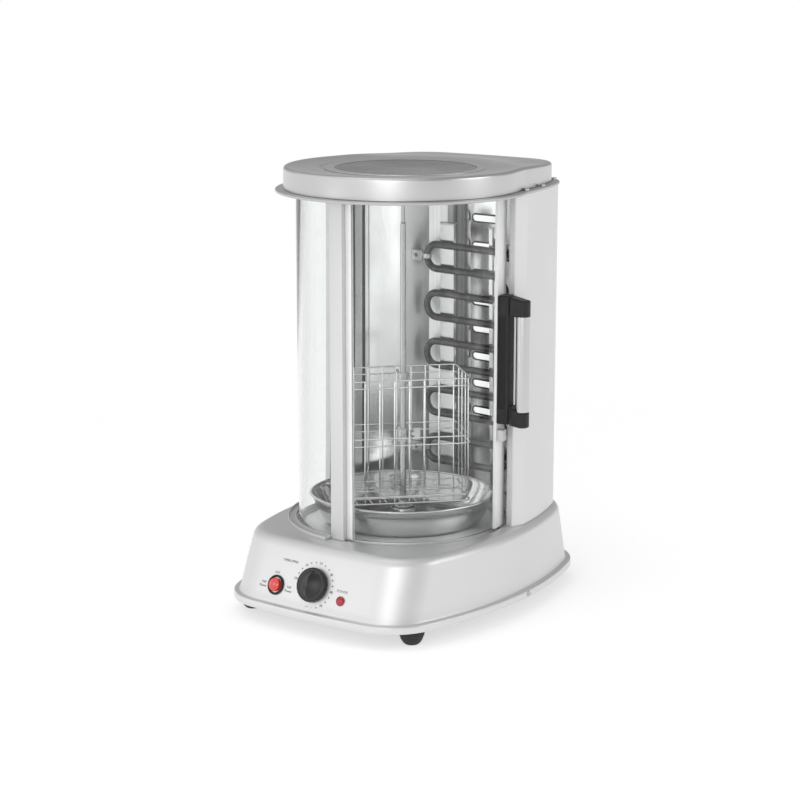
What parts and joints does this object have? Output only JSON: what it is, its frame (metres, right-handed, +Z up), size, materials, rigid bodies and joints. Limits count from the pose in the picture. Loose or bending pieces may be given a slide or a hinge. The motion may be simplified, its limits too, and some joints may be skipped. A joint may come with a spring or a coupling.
{
  "type": "electric skewer grill",
  "caption": "Upright electric grill: a motor turns a spit and wire basket beside a serpentine heating element behind a curved sliding glass door, on a flared base with a timer.",
  "frame": {"origin": "on the ground, under the middle of the whole grill's outline", "axes": "+Z up, front (controls) towards -Y, door handle on the +X side"},
  "size_m": [0.3098, 0.382, 0.488],
  "materials": {
    "silver_enamel": "satin silver-white stoved enamel on pressed steel",
    "dark_plate": "semi-matt black underside plate",
    "foot_rubber": "black rubber with a moulded grain",
    "zinc_screw": "bright zinc",
    "motor_steel": "passivated steel case",
    "bush_brass": "sintered bronze bush",
    "black_plastic": "black moulded plastic",
    "knob_plastic": "black moulded plastic, semi-gloss",
    "red_rocker": "translucent red plastic",
    "red_lens": "clear red plastic",
    "cream_ceramic": "unglazed ceramic",
    "silver_skin": "satin silver painted steel sheet",
    "bright_reflector": "polished stainless sheet",
    "element_sheath": "oxidised tubular heating element",
    "bracket_steel": "plain stainless strip",
    "clear_glass": "clear toughened glass",
    "grey_post": "dark grey painted post",
    "bright_trim": "bright anodised aluminium",
    "chrome_tube": "polished chrome",
    "spit_steel": "polished stainless bar",
    "basket_wire": "bright plated wire",
    "pan_steel": "polished stainless pressing",
    "lid_black": "gloss black heat-resistant enamel"
  },
  "bodies": {
    "base": {"base_shell": "silver_enamel", "bottom_plate": "dark_plate", "foot_front_left": "foot_rubber", "foot_front_right": "foot_rubber", "foot_rear_left": "foot_rubber", "foot_rear_right": "foot_rubber", "foot_screws": "zinc_screw", "foot_nuts": "zinc_screw", "skirt_screws": "zinc_screw", "gear_motor": "motor_steel", "motor_screws": "zinc_screw", "shaft_bush": "bush_brass", "timer_body": "black_plastic", "switch_body": "black_plastic", "lamp_body": "black_plastic", "lamp_lens": "red_lens", "terminal_block": "cream_ceramic", "cord_gland": "black_plastic", "rear_housing": "silver_skin", "reflector": "bright_reflector", "heater_element": "element_sheath", "heater_terminals": "cream_ceramic", "heater_bracket_right": "bracket_steel", "heater_bracket_left": "bracket_steel", "heater_clips": "bracket_steel", "fixed_glass": "clear_glass", "glass_post": "grey_post", "glass_gutter": "bright_trim", "roof_plate": "silver_skin", "top_bearing": "bush_brass", "roof_screws": "zinc_screw", "thermal_cutout": "cream_ceramic", "lid": "silver_skin", "lid_disc": "lid_black"},
    "door": {"door_glass": "clear_glass", "door_front_profile": "bright_trim", "door_rear_profile": "bright_trim", "door_pins": "zinc_screw", "handle_spine": "black_plastic", "handle_bracket_lower": "black_plastic", "handle_bracket_upper": "black_plastic", "handle_tube": "chrome_tube", "handle_screws": "zinc_screw", "door_catch": "black_plastic"},
    "turntable": {"drive_shaft": "spit_steel", "drive_hub": "spit_steel", "hub_set_screw": "zinc_screw"},
    "skewer": {"spit_rod": "spit_steel", "basket_front_grid": "basket_wire", "basket_back_grid": "basket_wire", "basket_right_end": "basket_wire", "basket_left_end": "basket_wire", "basket_floor": "basket_wire", "basket_lower_bar": "spit_steel", "basket_upper_bar": "spit_steel", "basket_thumb_screw": "zinc_screw"},
    "pan": {"drip_pan": "pan_steel"},
    "knob": {"timer_shaft": "motor_steel", "timer_knob": "knob_plastic"},
    "rocker": {"switch_rocker": "red_rocker"}
  },
  "joints": [
    {"name": "door_slide", "type": "hinge", "parent": "base", "child": "door", "pos_m": [0, -0.007, 0.09], "axis": [0, 0, 1], "range_deg": [-90, 0]},
    {"name": "turntable_spin", "type": "hinge", "parent": "base", "child": "turntable", "pos_m": [0, -0.007, 0.09], "axis": [0, 0, 1], "continuous": true},
    {"name": "skewer_lift", "type": "slide", "parent": "turntable", "child": "skewer", "axis": [0, 0, 1], "range_m": [0, 0.01]},
    {"name": "pan_lift", "type": "slide", "parent": "base", "child": "pan", "axis": [0, 0, 1], "range_m": [0, 0.012]},
    {"name": "timer_turn", "type": "hinge", "parent": "base", "child": "knob", "pos_m": [0, -0.17378, 0.052], "axis": [0, 0.927, -0.375], "range_deg": [0, 300]},
    {"name": "rocker_tilt", "type": "hinge", "parent": "base", "child": "rocker", "pos_m": [-0.04995, -0.17468, 0.04362], "axis": [0.0212, 0.3745, 0.927], "range_deg": [-10, 10]}
  ]
}
